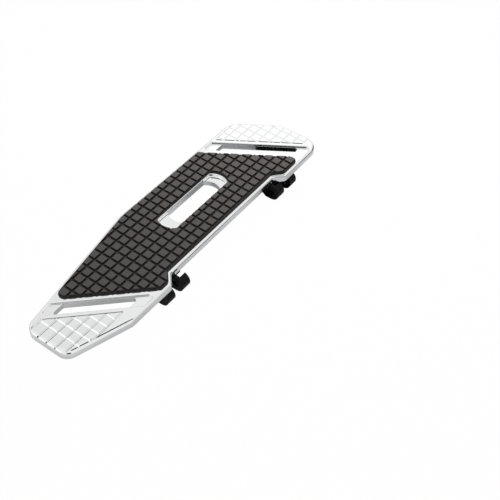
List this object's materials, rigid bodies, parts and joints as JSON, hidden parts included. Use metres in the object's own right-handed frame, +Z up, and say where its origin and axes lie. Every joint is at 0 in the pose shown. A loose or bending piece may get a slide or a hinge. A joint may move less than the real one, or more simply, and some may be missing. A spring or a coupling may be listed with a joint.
{
  "type": "motorcycle floorboard",
  "caption": "Left-hand rider floorboard: a chromed metal deck with slanted windows, a ribbed rubber pad and folding hinge brackets underneath.",
  "frame": {"origin": "on the hinge axis, in the middle of the gap of the rear bracket", "axes": "+X forward along the hinge axis, +Y outwards away from the motorcycle, +Z up out of the tread"},
  "size_m": [0.435, 0.1165, 0.0353],
  "materials": {
    "deck_chrome": "polished chrome plate",
    "pad_rubber": "matt moulded rubber",
    "bracket_black": "glossy black coating",
    "screw_steel": "black oxide",
    "washer_steel": "zinc plate"
  },
  "bodies": {
    "root": {"deck": "deck_chrome", "pad": "pad_rubber", "rear_bracket": "bracket_black", "front_bracket": "bracket_black", "rear_screw_1": "screw_steel", "rear_screw_2": "screw_steel", "rear_screw_3": "screw_steel", "front_screw_1": "screw_steel", "front_screw_2": "screw_steel", "front_screw_3": "screw_steel", "rear_washer_1": "washer_steel", "rear_washer_2": "washer_steel", "rear_washer_3": "washer_steel", "front_washer_1": "washer_steel", "front_washer_2": "washer_steel", "front_washer_3": "washer_steel"}
  },
  "joints": []
}
